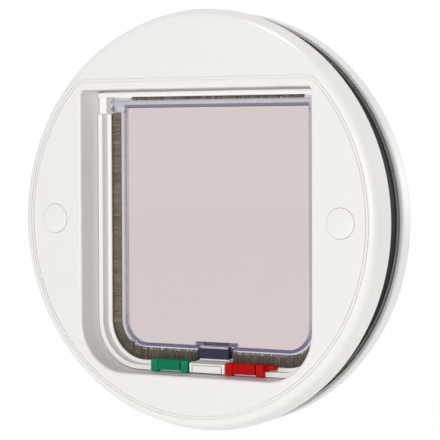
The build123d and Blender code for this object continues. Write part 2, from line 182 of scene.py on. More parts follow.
class NodeGraph:
    """Node tree of one material or world."""

    def __init__(self, tree: bpy.types.NodeTree) -> None:
        """Starts from an empty tree.

        Args:
            tree: Tree that is cleared and filled.
        """
        self.tree = tree
        tree.nodes.clear()

    def add(
        self, kind: str, settings: Union[dict, None] = None, inputs: Union[dict, None] = None
    ) -> bpy.types.Node:
        """Adds one node.

        Args:
            kind: Blender's type name of the node.
            settings: Attributes set first; "stops" holds a ramp's (place, colour) pairs.
            inputs: Values or links by socket name or number.

        Returns:
            The new node.
        """
        node = self.tree.nodes.new(kind)
        for name, setting in (settings or {}).items():
            if name == "stops":
                self._set_stops(node.color_ramp, setting)
            else:
                setattr(node, name, setting)
        for name, value in (inputs or {}).items():
            source = value.socket if isinstance(value, Value) else value
            if isinstance(source, bpy.types.NodeSocket):
                self.tree.links.new(source, node.inputs[name])
            else:
                node.inputs[name].default_value = source
        return node

    def _set_stops(self, ramp: bpy.types.ColorRamp, stops: Sequence[tuple[float, Colour]]) -> None:
        """Puts stops on a ramp, which starts with two.

        Args:
            ramp: Ramp that is filled.
            stops: Place and colour of each stop.
        """
        for index, (place, colour) in enumerate(stops):
            element = ramp.elements[index] if index < 2 else ramp.elements.new(place)
            element.position = place
            element.color = (*colour, 1.0)

    def value(self, node: bpy.types.Node, output: Union[str, int] = 0) -> Value:
        """Wraps one output of a node for arithmetic."""
        return Value(self, node.outputs[output])

    def place(self) -> bpy.types.NodeSocket:
        """Object coordinates, which are the part's own frame in metres."""
        return self.add("ShaderNodeTexCoord").outputs["Object"]

    def along(self, axis: int) -> Value:
        """Place along one axis of the part's frame, in metres."""
        return self.value(self.add("ShaderNodeSeparateXYZ", None, {0: self.place()}), axis)

    def noise(self, size: float, detail: float = 2.0, rough: float = 0.5) -> Value:
        """Noise of the part's space.

        Args:
            size: Rough size of one blotch, in metres.
            detail: Octaves.
            rough: Weight of the finer octaves.

        Returns:
            A value from 0 to 1, mostly near 0.5.
        """
        inputs = {"Vector": self.place(), "Scale": 1.0 / size, "Detail": detail, "Roughness": rough}
        return self.value(self.add("ShaderNodeTexNoise", None, inputs))

    def blend(self, factor: Operand, first: Operand, second: Operand) -> bpy.types.NodeSocket:
        """Mixes two colours.

        Args:
            factor: Share of the second colour.
            first: Colour or socket.
            second: Colour or socket.

        Returns:
            The mixed colour's socket.
        """
        four = [(*c, 1.0) if isinstance(c, tuple) else c for c in (first, second)]
        node = self.add("ShaderNodeMix", {"data_type": "RGBA"}, {0: factor, 6: four[0], 7: four[1]})
        return node.outputs[2]

    def bump(self, height: Operand, depth: float, strength: float = 1.0) -> bpy.types.NodeSocket:
        """Normal of a surface with that height.

        Args:
            height: Height from 0 to 1.
            depth: What a height of 1 is, in metres.
            strength: Share of the effect that is kept.

        Returns:
            The normal's socket.
        """
        inputs = {"Height": height, "Distance": depth, "Strength": strength}
        return self.add("ShaderNodeBump", None, inputs).outputs[0]

    def surface(self, inputs: dict) -> None:
        """Ends the tree in one Principled shader with these inputs."""
        shader = self.add("ShaderNodeBsdfPrincipled", None, inputs)
        self.add("ShaderNodeOutputMaterial", None, {"Surface": shader.outputs[0]})


def new_material(name: str, slot_colour: Colour) -> tuple[bpy.types.Material, NodeGraph]:
    """Makes an empty node material.

    Args:
        name: Material's name.
        slot_colour: Colour shown in a plain viewport.

    Returns:
        The material and its graph.
    """
    material = bpy.data.materials.new(name)
    material.use_nodes = True
    material.diffuse_color = (*slot_colour, 1.0)
    return material, NodeGraph(material.node_tree)


@dataclass(frozen=True)
class MouldedPlastic:
    """Satin injection-moulded plastic with a faint moulding texture."""

    name: str
    colour: Colour
    shade: Colour
    roughness: float = 0.38
    gloss: float = 0.5
    cloud_size: float = 30.0 * MM
    polish_size: float = 11.0 * MM
    polish_swing: float = 0.16
    grain_size: float = 0.6 * MM
    grain_swing: float = 0.08
    grain_depth: float = 0.012 * MM

    def make(self) -> bpy.types.Material:
        """Builds the material.

        Returns:
            The new material.
        """
        material, graph = new_material(self.name, self.colour)
        cloud = graph.noise(self.cloud_size, detail=3.0, rough=0.55)
        grain = graph.noise(self.grain_size, detail=2.0, rough=0.6)
        polish = graph.noise(self.polish_size, detail=4.0, rough=0.6)
        swing = self.polish_swing * (polish - 0.5) + self.grain_swing * (grain - 0.5)
        graph.surface({
            "Base Color": graph.blend(cloud, self.colour, self.shade),
            "Roughness": self.roughness + swing,
            "IOR": PLASTIC_IOR,
            "Specular IOR Level": self.gloss,
            "Normal": graph.bump(grain, self.grain_depth),
        })
        return material


@dataclass(frozen=True)
class SealRubber:
    """Matt black rubber with a dusty bloom and fine extrusion lines."""

    name: str = "seal_rubber"
    colour: Colour = (0.009, 0.009, 0.010)
    bloom: Colour = (0.025, 0.0255, 0.027)
    bloom_share: float = 1.6
    roughness: float = 0.52
    gloss: float = 0.2
    dust_size: float = 6.0 * MM
    dust_swing: float = 0.25
    grain_size: float = 0.4 * MM
    grain_swing: float = 0.1
    grain_share: float = 0.3
    line_pitch: float = 1.1 * MM
    line_depth: float = 0.04 * MM
    line_strength: float = 0.6

    def make(self) -> bpy.types.Material:
        """Builds the material.

        Returns:
            The new material.
        """
        material, graph = new_material(self.name, self.colour)
        dust = graph.noise(self.dust_size, detail=5.0, rough=0.65)
        grain = graph.noise(self.grain_size, detail=2.0, rough=0.6)
        lines = graph.along(1).ripple(self.line_pitch / 2)
        height = lines * (2 / self.line_pitch) + self.grain_share * grain
        swing = self.dust_swing * (dust - 0.5) + self.grain_swing * (grain - 0.5)
        graph.surface({
            "Base Color": graph.blend(dust ** 2.0 * self.bloom_share, self.colour, self.bloom),
            "Roughness": self.roughness + swing,
            "IOR": PLASTIC_IOR,
            "Specular IOR Level": self.gloss,
            "Normal": graph.bump(height, self.line_depth, self.line_strength),
        })
        return material


@dataclass(frozen=True)
class TintedClear:
    """Clear plastic with a faint tint, hairline scratches and a slight flow pattern."""

    name: str
    tint: Colour
    deep: Colour
    low: Union[Colour, None] = None
    high: Union[Colour, None] = None
    clearness: float = 1.0
    gloss: float = 0.5
    roughness: float = 0.03
    low_range: tuple[float, float] = (-58.0 * MM, -76.0 * MM)
    high_range: tuple[float, float] = (66.0 * MM, 69.0 * MM)
    low_half_width: float = 200.0 * MM
    low_fade: float = 0.2 * MM
    flow_size: float = 50.0 * MM
    flow_depth: float = 0.02 * MM
    flow_strength: float = 0.4
    scratch_turn: Point = (0.0, 0.5, 0.0)
    scratch_size: Point = (20.0 * MM, 20.0 * MM, 0.4 * MM)
    scratch_start: float = 0.45
    scratch_swing: float = 0.05

    def colour(self, graph: NodeGraph, flow: Value) -> bpy.types.NodeSocket:
        """Tint, which may turn to other tints low and high on the flap; on the bead the low tint is
        painted shade.

        Args:
            graph: Tree that is filled.
            flow: Faint pattern of the moulding.

        Returns:
            The colour's socket.
        """
        tint = graph.blend(flow, self.tint, self.deep)
        if self.low:
            across = (self.low_half_width - graph.along(0).magnitude()) * (1.0 / self.low_fade)
            share = self.share_between(graph, self.low_range) * across.clamped()
            tint = graph.blend(share, tint, self.low)
        if self.high:
            tint = graph.blend(self.share_between(graph, self.high_range), tint, self.high)
        return tint

    def share_between(self, graph: NodeGraph, heights: tuple[float, float]) -> Value:
        """How far a point is from the first height to the second, from 0 to 1."""
        start, end = heights
        return ((graph.along(2) - start) * (1.0 / (end - start))).clamped()

    def make(self) -> bpy.types.Material:
        """Builds the material.

        Returns:
            The new material.
        """
        material, graph = new_material(self.name, self.tint)
        flow = graph.noise(self.flow_size)
        stretch = graph.add("ShaderNodeMapping", {"vector_type": "TEXTURE"}, {
            0: graph.place(), "Rotation": self.scratch_turn, "Scale": self.scratch_size})
        inputs = {"Vector": stretch.outputs[0], "Scale": 1.0, "Detail": 4.0, "Roughness": 0.7}
        hairline = graph.value(graph.add("ShaderNodeTexNoise", None, inputs))
        scratch = (hairline - self.scratch_start).maximum(0.0)
        graph.surface({
            "Base Color": self.colour(graph, flow),
            "Roughness": self.roughness + self.scratch_swing * scratch,
            "IOR": CLEAR_IOR,
            "Specular IOR Level": self.gloss,
            "Transmission Weight": self.clearness,
            "Normal": graph.bump(flow, self.flow_depth, self.flow_strength),
        })
        return material


@dataclass(frozen=True)
class BristleFibre:
    """Dark brown nylon fibres, each of its own tone, with painted shade towards the bottom."""

    name: str = "bristle"
    # Painted shade towards the bottom of the brush: the height it starts below, how deep it fades in,
    # and its share.
    unshaded_above: float = -66.0 * MM
    bottom_shade_depth: float = -14.0 * MM
    bottom_shade: float = 0.42
    tones: tuple[Colour, ...] = (
        (0.08, 0.066, 0.047), (0.25, 0.21, 0.152), (0.40, 0.345, 0.26), (0.54, 0.48, 0.375))
    tone_places: tuple[float, ...] = (0.0, 0.45, 0.8, 1.0)
    band_size: float = 4.0 * MM
    band_share: float = 0.4
    roughness: float = 0.45
    band_swing: float = 0.2

    def make(self) -> bpy.types.Material:
        """Builds the material.

        Returns:
            The new material.
        """
        material, graph = new_material(self.name, self.tones[1])
        island = graph.value(graph.add("ShaderNodeNewGeometry"), "Random Per Island")
        stops = list(zip(self.tone_places, self.tones))
        ramp = graph.add("ShaderNodeValToRGB", {"stops": stops}, {0: island})
        band = graph.noise(self.band_size, detail=3.0, rough=0.6)
        # Painted shade: the fibres turn darker below a set height, for the shade on the bottom brush.
        bottom_shade = ((graph.along(2) - self.unshaded_above) * (1.0 / self.bottom_shade_depth)).clamped()
        dark = self.band_share * band + self.bottom_shade * bottom_shade
        graph.surface({
            "Base Color": graph.blend(dark, ramp.outputs[0], self.tones[0]),
            "Roughness": self.roughness + self.band_swing * (band - 0.5),
            "IOR": PLASTIC_IOR,
        })
        return material


@dataclass(frozen=True)
class ScrewMetal:
    """Turned or stamped steel with fine turning marks."""

    name: str
    colour: Colour
    roughness: float
    metallic: float = 1.0
    stain_size: float = 3.0 * MM
    stain_tone: float = 0.6
    mark_size: float = 0.3 * MM
    mark_swing: float = 0.2
    mark_depth: float = 0.01 * MM

    def make(self) -> bpy.types.Material:
        """Builds the material.

        Returns:
            The new material.
        """
        material, graph = new_material(self.name, self.colour)
        mark = graph.noise(self.mark_size, detail=3.0, rough=0.7)
        stain = graph.noise(self.stain_size, detail=3.0, rough=0.6)
        dark = tuple(self.stain_tone * c for c in self.colour)
        graph.surface({
            "Base Color": graph.blend(stain, self.colour, dark),
            "Metallic": self.metallic,
            "Roughness": self.roughness + self.mark_swing * (mark - 0.5),
            "Normal": graph.bump(mark, self.mark_depth),
        })
        return material


class Finishes:
    """All materials of the part, made once."""

    def __init__(self) -> None:
        """Makes every finish."""
        self.white = MouldedPlastic("white_plastic", (0.85, 0.843, 0.83), (0.83, 0.823, 0.81)).make()
        self.inner = MouldedPlastic(
            "inner_white", (0.935, 0.928, 0.916), (0.915, 0.908, 0.896), roughness=0.3).make()
        self.rubber = SealRubber().make()
        self.pane = TintedClear("tinted_pane", (0.665, 0.58, 0.58), (0.655, 0.57, 0.572)).make()
        self.strip = TintedClear(
            "tinted_strip", (0.655, 0.64, 0.72), (0.625, 0.61, 0.69),
            low=(0.265, 0.235, 0.30), low_range=(72.65 * MM, 72.35 * MM),
            low_half_width=68.0 * MM, clearness=0.4).make()
        self.lip = TintedClear("tinted_lip", (0.61, 0.60, 0.655), (0.58, 0.57, 0.625)).make()
        # Painted shade: the low tint darkens the bottom bead, standing for the dark brush seen through
        # it; the high tint darkens the bead near the top.
        self.bead = TintedClear(
            "tinted_bead", (0.45, 0.43, 0.475), (0.40, 0.38, 0.43),
            low=(0.15, 0.127, 0.24), high=(0.26, 0.235, 0.29)).make()
        self.bearing = MouldedPlastic(
            "tinted_bearing", (0.94, 0.93, 0.96), (0.92, 0.91, 0.94)).make()
        self.holder = TintedClear(
            "tinted_holder", (0.033, 0.027, 0.080), (0.029, 0.024, 0.070),
            clearness=0.3, gloss=0.25, roughness=0.2).make()
        self.magnet = ScrewMetal("magnet", (0.035, 0.033, 0.055), 0.6, metallic=0.2).make()
        self.steel = ScrewMetal("screw_steel", (0.55, 0.55, 0.55), 0.3).make()
        self.pin = ScrewMetal("pin_steel", (0.05, 0.05, 0.055), 0.45).make()
        self.bristle = BristleFibre().make()
        dull = {"roughness": 0.6, "gloss": 0.08}
        satin = {"roughness": 0.5, "gloss": 0.12}
        # Painted shade: a near-black finish for the cover's side walls, standing for the shade in the
        # narrow gap round the cover.
        self.seam = MouldedPlastic("white_painted_gap_shade", (0.12, 0.12, 0.12), (0.10, 0.10, 0.10), **dull).make()
        # Painted shade: darker, duller green and red for the catches' slots and undersides.
        self.green_painted_shade = MouldedPlastic(
            "green_painted_shade", (0.002, 0.05, 0.022), (0.0015, 0.04, 0.018), **dull).make()
        self.red_painted_shade = MouldedPlastic(
            "red_painted_shade", (0.13, 0.002, 0.002), (0.11, 0.0015, 0.0015), **dull).make()
        self.green = MouldedPlastic(
            "green_plastic", (0.0095, 0.262, 0.12), (0.0075, 0.23, 0.105), **satin).make()
        self.red = MouldedPlastic(
            "red_plastic", (0.55, 0.0055, 0.0045), (0.49, 0.0045, 0.0035), **satin).make()


def dress(node: str, material: bpy.types.Material) -> None:
    """Gives a CAD node its finish and leaves its mesh alone.

    Args:
        node: Name of the CAD node.
        material: Finish for all of it.
    """
    piece = FRAME["nodes"][node]
    if not piece.material_slots:
        piece.data.materials.append(material)
    for slot in piece.material_slots:
        slot.link = "OBJECT"
        slot.material = material
    LOG.info("dressed %s", node)


def new_piece(name: str, mesh: bpy.types.Mesh, body: Body, slot: Slot, *nodes: str) -> bpy.types.Object:
    """Adds a mesh to the scene as a piece of the object.

    Args:
        name: Piece's name.
        mesh: Its mesh, in the part's frame.
        body: Body it moves with.
        slot: Record slot of its finish; not used.
        *nodes: CAD nodes that it stands for.

    Returns:
        The new object.
    """
    piece = bpy.data.objects.new(name, mesh)
    bpy.context.scene.collection.objects.link(piece)
    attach(piece, body.value)
    if nodes:
        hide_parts(*nodes)
    LOG.info("built %s with %d faces", name, len(mesh.polygons))
    return piece


def softened(node: str, radius: float) -> bpy.types.Mesh:
    """Copies a CAD node's mesh with its sharp edges rounded, as a mould leaves them.

    Args:
        node: Name of the CAD node.
        radius: Width of the rounding, in metres.

    Returns:
        The new mesh.
    """
    shape = bmesh.new()
    shape.from_mesh(FRAME["nodes"][node].data)
    bmesh.ops.remove_doubles(shape, verts=shape.verts, dist=WELD_DISTANCE)
    bmesh.ops.dissolve_limit(shape, angle_limit=FLAT_ANGLE, verts=shape.verts, edges=shape.edges)
    edges = [e for e in shape.edges if e.is_manifold and e.calc_face_angle() > SHARP_ANGLE]
    bmesh.ops.bevel(
        shape, geom=edges, offset=radius, offset_type="OFFSET", segments=2, profile=0.5,
        affect="EDGES", clamp_overlap=True)
    mesh = bpy.data.meshes.new(f"{node}_soft")
    shape.to_mesh(mesh)
    shape.free()
    mesh.shade_smooth()
    mesh.set_sharp_from_angle(angle=SMOOTH_ANGLE)
    return mesh


def even_normals(piece: bpy.types.Object) -> None:
    """Makes the large flat faces of a piece shade flat up to their rounded edges."""
    weights = piece.modifiers.new("even_normals", "WEIGHTED_NORMAL")
    weights.keep_sharp = True


def soft_piece(
    node: str, radius: float, material: bpy.types.Material, body: Body, slot: Slot
) -> bpy.types.Object:
    """Replaces a CAD node by its copy with rounded edges.

    Args:
        node: Name of the CAD node.
        radius: Width of the rounding, in metres.
        material: Finish.
        body: Body it moves with.
        slot: Record slot of its finish, passed on but not used.

    Returns:
        The new object.
    """
    mesh = softened(node, radius)
    mesh.materials.append(material)
    piece = new_piece(f"{node}_moulding", mesh, body, slot, node)
    even_normals(piece)
    return piece


def second_finish(
    piece: bpy.types.Object, material: bpy.types.Material,
    chosen: Callable[[bpy.types.MeshPolygon], bool],
) -> None:
    """Gives some faces of a piece another finish.

    Args:
        piece: Piece with one finish.
        material: Finish of the chosen faces.
        chosen: Says whether a face is one of them.
    """
    piece.data.materials.append(material)
    for polygon in piece.data.polygons:
        if chosen(polygon):
            polygon.material_index = 1


@dataclass(frozen=True)
class Station:
    """A place on the wall of the opening, with the direction in which fibres grow."""

    x: float
    z: float
    in_x: float
    in_z: float

    def at(self, inset: float, y: float) -> Vector:
        """The point that far in from the wall, at that depth."""
        return Vector((self.x + inset * self.in_x, y, self.z + inset * self.in_z))


class MeshParts:
    """Vertices and faces that are gathered into one mesh."""

    def __init__(self) -> None:
        """Starts empty."""
        self.points: list[Vector] = []
        self.faces: list[tuple[int, ...]] = []

    def loft(self, rings: Sequence[Sequence[Vector]]) -> None:
        """Joins closed rings of points into a tube with closed ends.

        Args:
            rings: Rings with as many points each, in order along the tube.
        """
        count = len(rings[0])
        first = len(self.points)
        for ring in rings:
            self.points.extend(ring)
        for row in range(len(rings) - 1):
            low = first + row * count
            for k in range(count):
                following = (k + 1) % count
                self.faces.append((low + k, low + following, low + count + following, low + count + k))
        last = first + (len(rings) - 1) * count
        self.faces.append(tuple(range(first + count - 1, first - 1, -1)))
        self.faces.append(tuple(range(last, last + count)))

    def turn(self, outline: Sequence[tuple[float, float]], sides: int) -> None:
        """Turns a closed outline about the Y axis into a ring.

        Args:
            outline: Points as radius and depth, in order round the outline.
            sides: How many steps the turn has.
        """
        count = len(outline)
        first = len(self.points)
        for step in range(sides):
            angle = 2 * math.pi * step / sides
            across, up = math.cos(angle), math.sin(angle)
            self.points.extend(Vector((r * across, y, r * up)) for r, y in outline)
        for step in range(sides):
            low = first + step * count
            high = first + (step + 1) % sides * count
            for k in range(count):
                following = (k + 1) % count
                self.faces.append((low + k, low + following, high + following, high + k))

    def mesh(self, name: str, *materials: bpy.types.Material) -> bpy.types.Mesh:
        """Makes the mesh, with its faces turned outward.

        Args:
            name: Mesh's name.
            *materials: Its finishes.

        Returns:
            The new mesh.
        """
        mesh = bpy.data.meshes.new(name)
        mesh.from_pydata(self.points, [], self.faces)
        for material in materials:
            mesh.materials.append(material)
        shape = bmesh.new()
        shape.from_mesh(mesh)
        bmesh.ops.recalc_face_normals(shape, faces=shape.faces)
        shape.to_mesh(mesh)
        shape.free()
        return mesh


@dataclass
class RoundFrames:
    """Front and rear round mouldings and the two screw caps."""

    nodes: tuple[str, ...] = ("front_frame", "rear_frame", "screw_cap_left", "screw_cap_right")

    def build(self, finishes: Finishes) -> None:
        """Dresses the mouldings."""
        for node in self.nodes:
            dress(node, finishes.white)


@dataclass
class PaneSeal:
    """Rubber ring between the two round frames, with two rounded ridges round it."""

    bore: float = 120.1 * MM
    radius: float = 125.6 * MM
    ridge: float = 0.7 * MM
    depths: tuple[float, float] = (-18.1 * MM, -0.1 * MM)
    steps: int = 24
    sides: int = 288
    sharp: float = math.radians(40.0)

    def outline(self) -> list[tuple[float, float]]:
        """Draws the ring's section, which starts and ends at the bore.

        Returns:
            Radius and depth of each point.
        """
        front, rear = self.depths
        found = [(self.bore, front)]
        for step in range(self.steps + 1):
            share = step / self.steps
            swell = self.ridge * (math.sin(2 * math.pi * share) ** 2 - 1.0)
            found.append((self.radius + swell, front + (rear - front) * share))
        found.append((self.bore, rear))
        return found

    def build(self, finishes: Finishes) -> None:
        """Builds the ring.

        Args:
            finishes: Materials of the part.
        """
        parts = MeshParts()
        parts.turn(self.outline(), self.sides)
        mesh = parts.mesh("ridged_seal", finishes.rubber)
        mesh.shade_smooth()
        mesh.set_sharp_from_angle(angle=self.sharp)
        new_piece("ridged_seal", mesh, Body.FRAME, Slot.RUBBER, "seal_ring")


@dataclass
class FlapHousing:
    """Inner white frame with its rims, and the bar that closes the hinge bearings."""

    edge: float = 0.5 * MM
    nodes: tuple[str, ...] = ("flap_housing", "hinge_retainer")

    def build(self, finishes: Finishes) -> None:
        """Builds the mouldings with rounded edges."""
        for node in self.nodes:
            soft_piece(node, self.edge, finishes.inner, Body.FRAME, Slot.WHITE)


@dataclass
class SwingFlap:
    """Tinted flap with its bead and lip, and the holder of the flap magnet."""

    half_width: float = 71.0 * MM
    bottom: float = -83.8 * MM
    strip: float = 71.4 * MM
    corner: float = 18.7 * MM
    plane: float = -2.85 * MM
    half_pane: float = 1.2 * MM
    bead_outer: float = 2.0 * MM
    bead_inner: float = 4.0 * MM
    bearing_start: float = 77.3 * MM
    ear_ends: tuple[float, float] = (63.8 * MM, 77.4 * MM)
    ear_levels: tuple[float, float] = (75.21 * MM, 76.9 * MM)
    ear_edge: float = 0.4 * MM
    ear_taper: float = 0.3
    holder_cut: float = -81.05 * MM
    holder_edge: float = 0.3 * MM
    strip_slack: float = 0.2 * MM
    lip_slack: float = 0.1 * MM
    pane_slack: float = 0.05 * MM
    bead_slack: float = 0.5 * MM

    def inset_of(self, x: float, z: float) -> float:
        """Distance of a point inside the flap's edge, in metres.

        Args:
            x: Place across the flap.
            z: Height.

        Returns:
            Inset from the sides and the bottom edge.
        """
        side = self.half_width - abs(x)
        low = z - self.bottom
        if side < self.corner and low < self.corner:
            return self.corner - math.hypot(self.corner - side, self.corner - low)
        return min(side, low)

    def build(self, finishes: Finishes) -> None:
        """Copies the flap's mesh with a finish for each zone, and dresses the rest.

        Args:
            finishes: Materials of the part.
        """
        mesh = FRAME["nodes"]["flap_panel"].data.copy()
        mesh.name = "tinted_flap"
        mesh.materials.clear()
        materials = {
            Zone.PANE: finishes.pane, Zone.LIP: finishes.lip, Zone.BEAD: finishes.bead,
            Zone.BEARING: finishes.bearing, Zone.STRIP: finishes.strip}
        for zone in Zone:
            mesh.materials.append(materials[zone])
        for polygon in mesh.polygons:
            polygon.material_index = self.zone(polygon).value
        new_piece("tinted_flap", mesh, Body.FLAP, Slot.CLEAR, "flap_panel")
        self.build_ears(finishes)
        self.build_holder(finishes)
        dress("flap_magnet", finishes.magnet)

    def build_ears(self, finishes: Finishes) -> None:
        """Builds the raised ends of the top strip, which reach up to the bar.

        Args:
            finishes: Materials of the part.
        """
        low, high = self.ear_levels
        cut = self.ear_edge
        start, end = self.ear_ends
        for side, name in ((-1, "flap_ear_left"), (1, "flap_ear_right")):
            rings = []
            for x, inset in ((start, cut), (start + cut, 0.0), (end - cut, 0.0), (end, cut)):
                top = high - inset
                half = self.half_pane - self.ear_taper * inset
                outline = (
                    (-half, low), (half, low), (half, top - cut), (half - cut, top),
                    (cut - half, top), (-half, top - cut))
                rings.append([Vector((side * x, self.plane + y, z)) for y, z in outline])
            parts = MeshParts()
            parts.loft(rings)
            new_piece(name, parts.mesh(name, finishes.lip), Body.FLAP, Slot.CLEAR)

    def build_holder(self, finishes: Finishes) -> None:
        """Builds the magnet's holder, dark where the magnet is and clear above it.

        Args:
            finishes: Materials of the part.
        """
        shape = bmesh.new()
        shape.from_mesh(softened("magnet_holder", self.holder_edge))
        geometry = [*shape.verts, *shape.edges, *shape.faces]
        bmesh.ops.bisect_plane(
            shape, geom=geometry, plane_co=(0.0, 0.0, self.holder_cut), plane_no=(0.0, 0.0, 1.0))
        mesh = bpy.data.meshes.new("tinted_holder")
        shape.to_mesh(mesh)
        shape.free()
        mesh.shade_smooth()
        mesh.set_sharp_from_angle(angle=SMOOTH_ANGLE)
        for material in (finishes.holder, finishes.lip):
            mesh.materials.append(material)
        for polygon in mesh.polygons:
            polygon.material_index = int(polygon.center.z > self.holder_cut)
        holder = new_piece("tinted_holder", mesh, Body.FLAP, Slot.CLEAR, "magnet_holder")
        even_normals(holder)

    def zone(self, polygon: bpy.types.MeshPolygon) -> Zone:
        """Finds the zone of the flap that a face belongs to.

        Args:
            polygon: Face of the flap.

        Returns:
            Its zone.
        """
        x, y, z = polygon.center
        if abs(x) > self.bearing_start:
            return Zone.BEARING
        if z > self.strip - self.strip_slack:
            return Zone.STRIP
        if abs(x) > self.half_width - self.bead_outer + self.lip_slack:
            return Zone.LIP
        if abs(y - self.plane) > self.half_pane + self.pane_slack:
            return Zone.BEAD
        return Zone.PANE if self.inset_of(x, z) > self.bead_inner - self.bead_slack else Zone.LIP


@dataclass
class BristleSeals:
    """Brush strips round the flap, as rows of separate fibres on a backing."""

    half_width: float = 83.8 * MM
    drop: float = 96.6 * MM
    top: float = 81.6 * MM
    corner: float = 31.5 * MM
    side_top: float = 67.0 * MM
    backing_top: float = 66.3 * MM
    end_gap: float = 11.95 * MM
    arm_end: float = 21.7 * MM
    top_half_length: float = 62.9 * MM
    plane: float = -2.85 * MM
    half_backing: float = 1.7 * MM
    backing: tuple[float, float] = (2.9 * MM, 5.7 * MM)
    root: float = 5.2 * MM
    clear_root: float = 5.95 * MM
    tip: float = 12.45 * MM
    top_backing: tuple[float, float] = (2.9 * MM, 4.15 * MM)
    top_root: float = 3.6 * MM
    top_tip: float = 6.3 * MM
    flap_edge: float = 12.8 * MM
    side_lap: float = -0.3 * MM
    bottom_lap: float = 1.1 * MM
    splay: float = 1.5 * MM
    clump: int = 6
    clump_lean: float = 0.12
    half_core: float = 0.5 * MM
    core_tip: float = 12.3 * MM
    spread: float = 0.93 * MM
    pitch: float = 0.32 * MM
    rows: int = 7
    thick: float = 0.11 * MM
    thick_range: tuple[float, float] = (0.8, 1.2)
    taper: tuple[tuple[float, float], ...] = ((0.0, 1.0), (0.55, 0.95), (1.0, 0.62))
    sides: int = 3
    lean: float = 0.06
    unevenness: float = 0.04
    jitter: float = 0.03 * MM
    outer_rows: float = 0.5
    bevel: float = 0.25
    band_pitch: float = 2.0 * MM
    top_band_pitch: float = 4.0 * MM
    seed: int = 11

    def side_stations(self, side: int, pitch: float) -> list[Station]:
        """Stations down one side, round the corner and along the bottom.

        Args:
            side: 1 for the right and -1 for the left.
            pitch: Distance between stations.

        Returns:
            The stations, from the top to the middle of the bottom.
        """
        found = []
        centre_x = self.half_width - self.corner
        centre_z = self.corner - self.drop
        count = int((self.side_top - centre_z) / pitch)
        for k in range(count):
            z = self.side_top - k * (self.side_top - centre_z) / count
            found.append(Station(side * self.half_width, z, -side, 0.0))
        turns = int((self.corner - self.root) * math.pi / 2 / pitch)
        for k in range(turns):
            angle = k / turns * math.pi / 2
            across, down = math.cos(angle), math.sin(angle)
            x = side * (centre_x + self.corner * across)
            found.append(Station(x, centre_z - self.corner * down, -side * across, down))
        count = int((centre_x - self.end_gap) / pitch)
        for k in range(count + 1):
            x = centre_x - k * (centre_x - self.end_gap) / count
            found.append(Station(side * x, -self.drop, 0.0, 1.0))
        return found

    def top_stations(self, pitch: float) -> list[Station]:
        """Stations along the top, from left to right.

        Args:
            pitch: Distance between stations.

        Returns:
            The stations.
        """
        count = int(2 * self.top_half_length / pitch)
        step = 2 * self.top_half_length / count
        places = [k * step - self.top_half_length for k in range(count + 1)]
        return [Station(x, self.top, 0.0, -1.0) for x in places]

    def fibre(
        self, parts: MeshParts, rng: random.Random, station: Station, ends: tuple[float, float],
        depths: tuple[float, float], lean: float,
    ) -> None:
        """Adds one tapered, slightly bent fibre.

        Args:
            parts: Mesh that is gathered.
            rng: Source of the small differences between fibres.
            station: Where it grows.
            ends: Insets of its root and its tip.
            depths: Its depth at the root and from the middle on.
            lean: Lean along the strip that it shares with its neighbours.
        """
        length = (ends[1] - ends[0]) * (1.0 - self.unevenness * rng.random() ** 2)
        across = Vector((station.in_z, 0.0, -station.in_x))
        depth = Vector((0.0, 1.0, 0.0))
        tilt = lean + rng.gauss(0.0, self.lean)
        curl = rng.gauss(0.0, self.lean)
        phase = rng.uniform(0.0, 2.0)
        thick = self.thick * rng.uniform(*self.thick_range)
        turns = [phase + 2 * math.pi * k / self.sides for k in range(self.sides)]
        rings = []
        for share, size in self.taper:
            middle = station.at(ends[0] + length * share, depths[1] if share else depths[0])
            middle += across * ((tilt + curl * share) * length * share)
            rings.append([
                middle + (across * math.cos(t) + depth * math.sin(t)) * (thick * size) for t in turns])
        parts.loft(rings)

    def tuft(self, parts: MeshParts, stations: Sequence[Station], ends: tuple[float, float]) -> None:
        """Adds rows of fibres at all stations.

        Args:
            parts: Mesh that is gathered.
            stations: Where the fibres grow.
            ends: Insets of root and tip.
        """
        rng = random.Random(self.seed)
        lean = 0.0
        for index, station in enumerate(stations):
            if index % self.clump == 0:
                lean = rng.gauss(0.0, self.clump_lean)
            for row in range(self.rows):
                place = 2 * row / (self.rows - 1) - 1
                y = self.plane + self.spread * place + rng.gauss(0.0, self.jitter)
                shift = rng.uniform(-0.5, 0.5) * self.pitch
                moved = Station(
                    station.x + shift * station.in_z, station.z - shift * station.in_x,
                    station.in_x, station.in_z)
                tip, y_tip = ends[1], y
                if abs(place) > self.outer_rows and station.in_z >= 0.0:
                    low = station.in_z ** 2
                    tip = self.flap_edge + self.side_lap + (self.bottom_lap - self.side_lap) * low
                    y_tip = self.plane + math.copysign(self.splay, place)
                self.fibre(parts, rng, moved, (ends[0], tip), (y, y_tip), lean)

    def band(
        self, parts: MeshParts, stations: Sequence[Station], insets: tuple[float, float], half: float
    ) -> None:
        """Adds a band with bevelled edges that follows the stations.

        Args:
            parts: Mesh that is gathered.
            stations: Its course.
            insets: Its two edges, as insets from the wall.
            half: Half its thickness.
        """
        low, high = insets
        cut = self.bevel * min(half, high - low)
        section = (
            (low + cut, -half), (high - cut, -half), (high, cut - half), (high, half - cut),
            (high - cut, half), (low + cut, half), (low, half - cut), (low, cut - half))
        parts.loft([[s.at(inset, self.plane + y) for inset, y in section] for s in stations])

